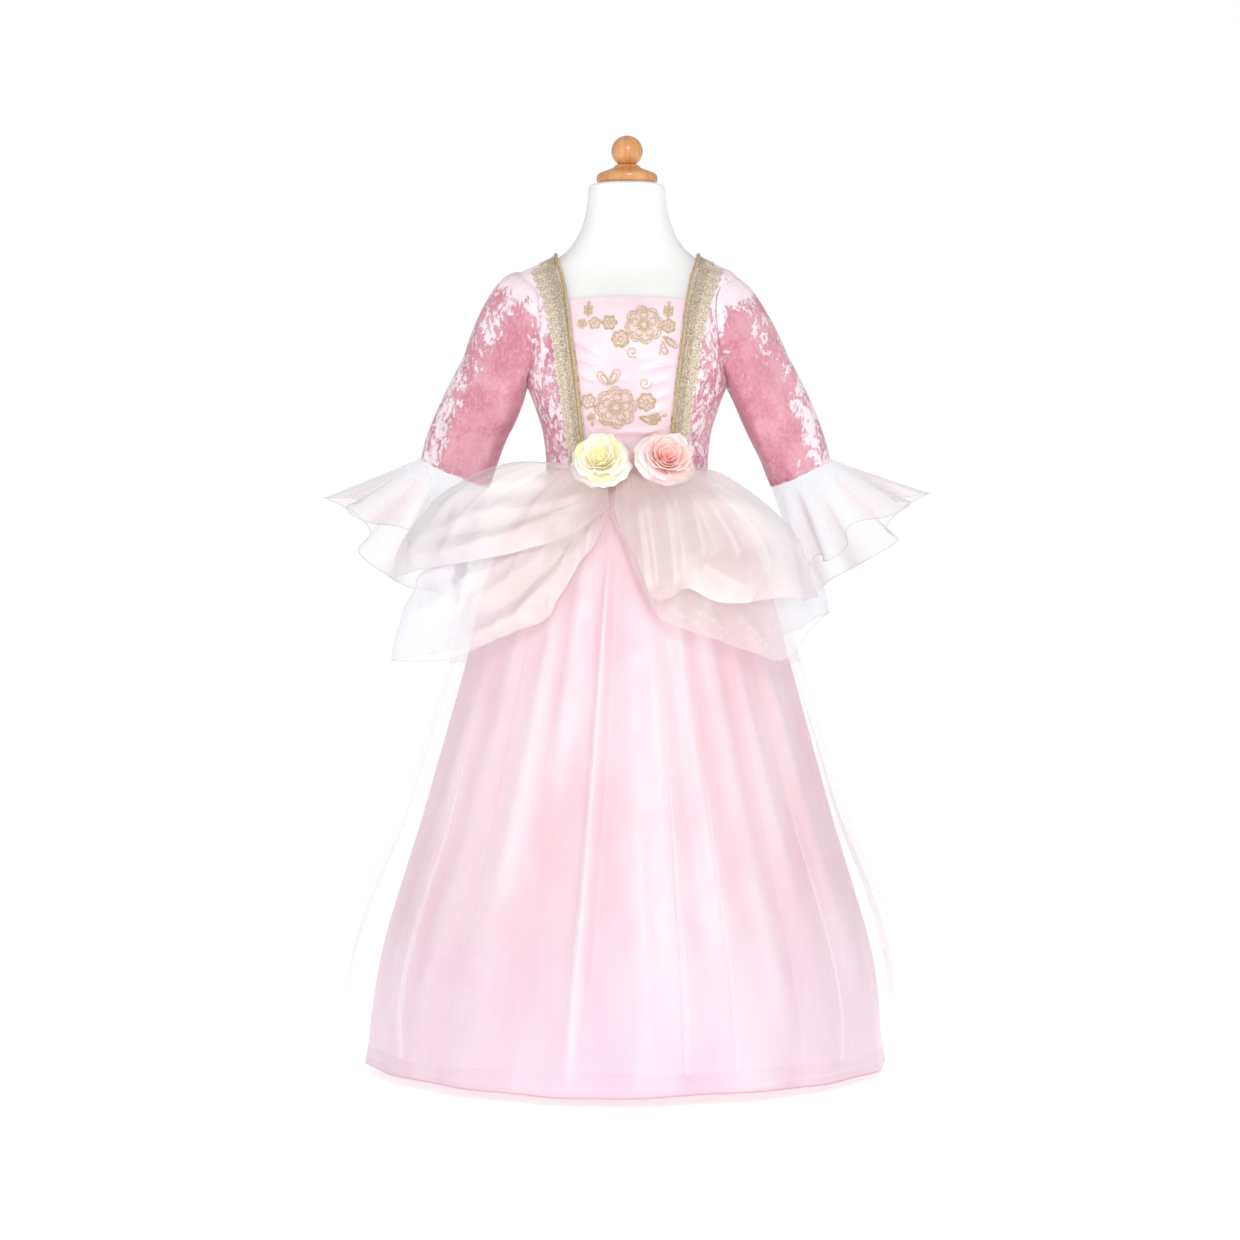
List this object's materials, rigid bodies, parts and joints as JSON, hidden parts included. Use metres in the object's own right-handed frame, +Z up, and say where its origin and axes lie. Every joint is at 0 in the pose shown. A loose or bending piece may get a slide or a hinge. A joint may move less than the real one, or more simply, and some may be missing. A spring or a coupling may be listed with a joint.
{
  "type": "princess costume dress on a limbless dress form",
  "caption": "Child's full-length princess costume dress with velvet bodice, gold-trimmed satin front, organza overskirt and netted satin skirt, on a limbless dress form with a wooden cap.",
  "frame": {"origin": "centre of the underside of the dress form's foot, on the floor", "axes": "+Z up along the form's pole, -Y the way the dress faces, +X to the right of someone looking at its front"},
  "size_m": [0.6607, 0.548, 1.028],
  "materials": {
    "velvet": "crushed velvet, mid pink with pale crushed patches",
    "satin": "glossy pale pink satin",
    "net": "fine white net, see-through",
    "organza": "ivory and white organza, see-through, slightly shiny",
    "gold_trim": "metallic gold lace, cord and embroidery",
    "cream_rose": "matte cream petal cloth",
    "pink_rose": "matte coral pink petal cloth",
    "jersey": "white jersey over a smooth form",
    "wood": "satin varnish, warm honey brown"
  },
  "bodies": {
    "root": {"bodice_back_left": "velvet", "bodice_back_right": "velvet", "bodice_centre": "satin", "bodice_front_left": "velvet", "bodice_front_right": "velvet", "cord_left": "gold_trim", "cord_right": "gold_trim", "flounce_left": "organza", "flounce_right": "organza", "form_ball": "wood", "form_cap": "wood", "form_foot": "wood", "form_pole": "wood", "form_torso": "jersey", "lace_left": "gold_trim", "lace_right": "gold_trim", "motif_lower_bloom": "gold_trim", "motif_lower_leaves": "gold_trim", "motif_lower_sprig": "gold_trim", "motif_upper_bloom": "gold_trim", "motif_upper_leaves": "gold_trim", "motif_upper_sprig": "gold_trim", "net_back": "net", "net_front": "net", "net_left": "net", "net_right": "net", "rose_cream_heart": "cream_rose", "rose_cream_inner": "cream_rose", "rose_cream_middle": "cream_rose", "rose_cream_outer": "cream_rose", "rose_pink_heart": "pink_rose", "rose_pink_inner": "pink_rose", "rose_pink_middle": "pink_rose", "rose_pink_outer": "pink_rose", "skirt_back": "satin", "skirt_front": "satin", "skirt_left": "satin", "skirt_right": "satin", "sleeve_left": "velvet", "sleeve_right": "velvet", "swag_lower_left": "organza", "swag_lower_right": "organza", "swag_upper_left": "organza", "swag_upper_right": "organza"}
  },
  "joints": []
}
